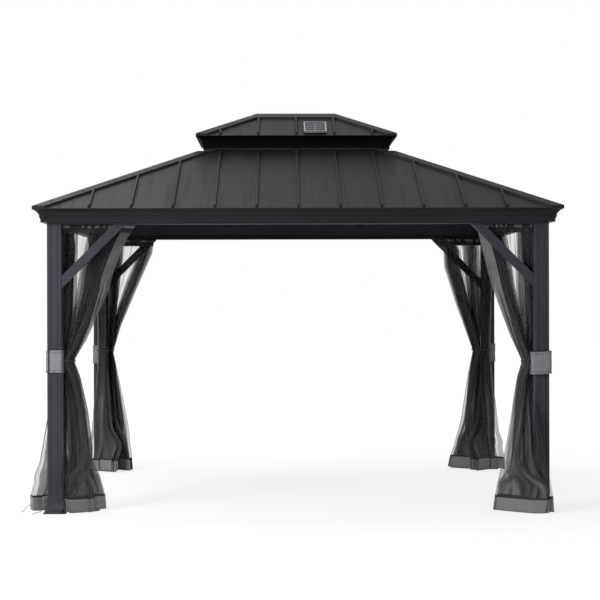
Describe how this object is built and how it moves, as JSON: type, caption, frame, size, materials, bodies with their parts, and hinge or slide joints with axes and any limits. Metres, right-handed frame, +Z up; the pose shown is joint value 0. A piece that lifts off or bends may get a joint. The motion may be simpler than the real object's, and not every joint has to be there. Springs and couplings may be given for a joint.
{
  "type": "hardtop gazebo",
  "caption": "Charcoal metal garden gazebo with a vented two-tier standing-seam hip roof, knee-braced posts and nets tied back at the corners.",
  "frame": {"origin": "on the ground under the middle of the gazebo", "axes": "+X along the long side to the right seen from the front, +Y to the back, +Z up"},
  "size_m": [3.7632, 3.05, 2.933],
  "materials": {
    "frame": "satin powder coat",
    "roof_frame": "satin powder coat",
    "fascia": "satin powder coat",
    "roof_sheet": "matt powder coat",
    "roof_cap": "matt powder coat",
    "net": "open mesh",
    "band": "woven",
    "string": "braided",
    "solar_frame": "anodised",
    "solar_cells": "gloss",
    "solar_gland": "matt"
  },
  "bodies": {
    "root": {"base_plates": "frame", "beam_back": "frame", "beam_front": "frame", "beam_left": "frame", "beam_right": "frame", "fascia_back": "fascia", "fascia_corners": "fascia", "fascia_front": "fascia", "fascia_left": "fascia", "fascia_right": "fascia", "foot_covers": "frame", "hip_rafters": "roof_frame", "jack_rafters": "roof_frame", "knee_braces": "frame", "lantern_struts": "roof_frame", "long_net_back_left": "net", "long_net_back_right": "net", "long_net_front_left": "net", "long_net_front_right": "net", "lower_hip_caps": "roof_cap", "lower_roof_back": "roof_sheet", "lower_roof_front": "roof_sheet", "lower_roof_left": "roof_sheet", "lower_roof_right": "roof_sheet", "net_rails": "roof_frame", "post_back_left": "frame", "post_back_right": "frame", "post_front_left": "frame", "post_front_right": "frame", "ridge_beam": "roof_frame", "ridge_cap": "roof_cap", "short_net_back_left": "net", "short_net_back_right": "net", "short_net_front_left": "net", "short_net_front_right": "net", "solar_cells": "solar_cells", "solar_frame": "solar_frame", "solar_gland": "solar_gland", "tie_bands": "band", "tie_string_inner": "string", "tie_string_outer": "string", "upper_fascia": "fascia", "upper_hip_caps": "roof_cap", "upper_rafters": "roof_frame", "upper_rails": "roof_frame", "upper_roof_back": "roof_sheet", "upper_roof_front": "roof_sheet", "upper_roof_left": "roof_sheet", "upper_roof_right": "roof_sheet", "vent_ring": "roof_frame"}
  },
  "joints": []
}
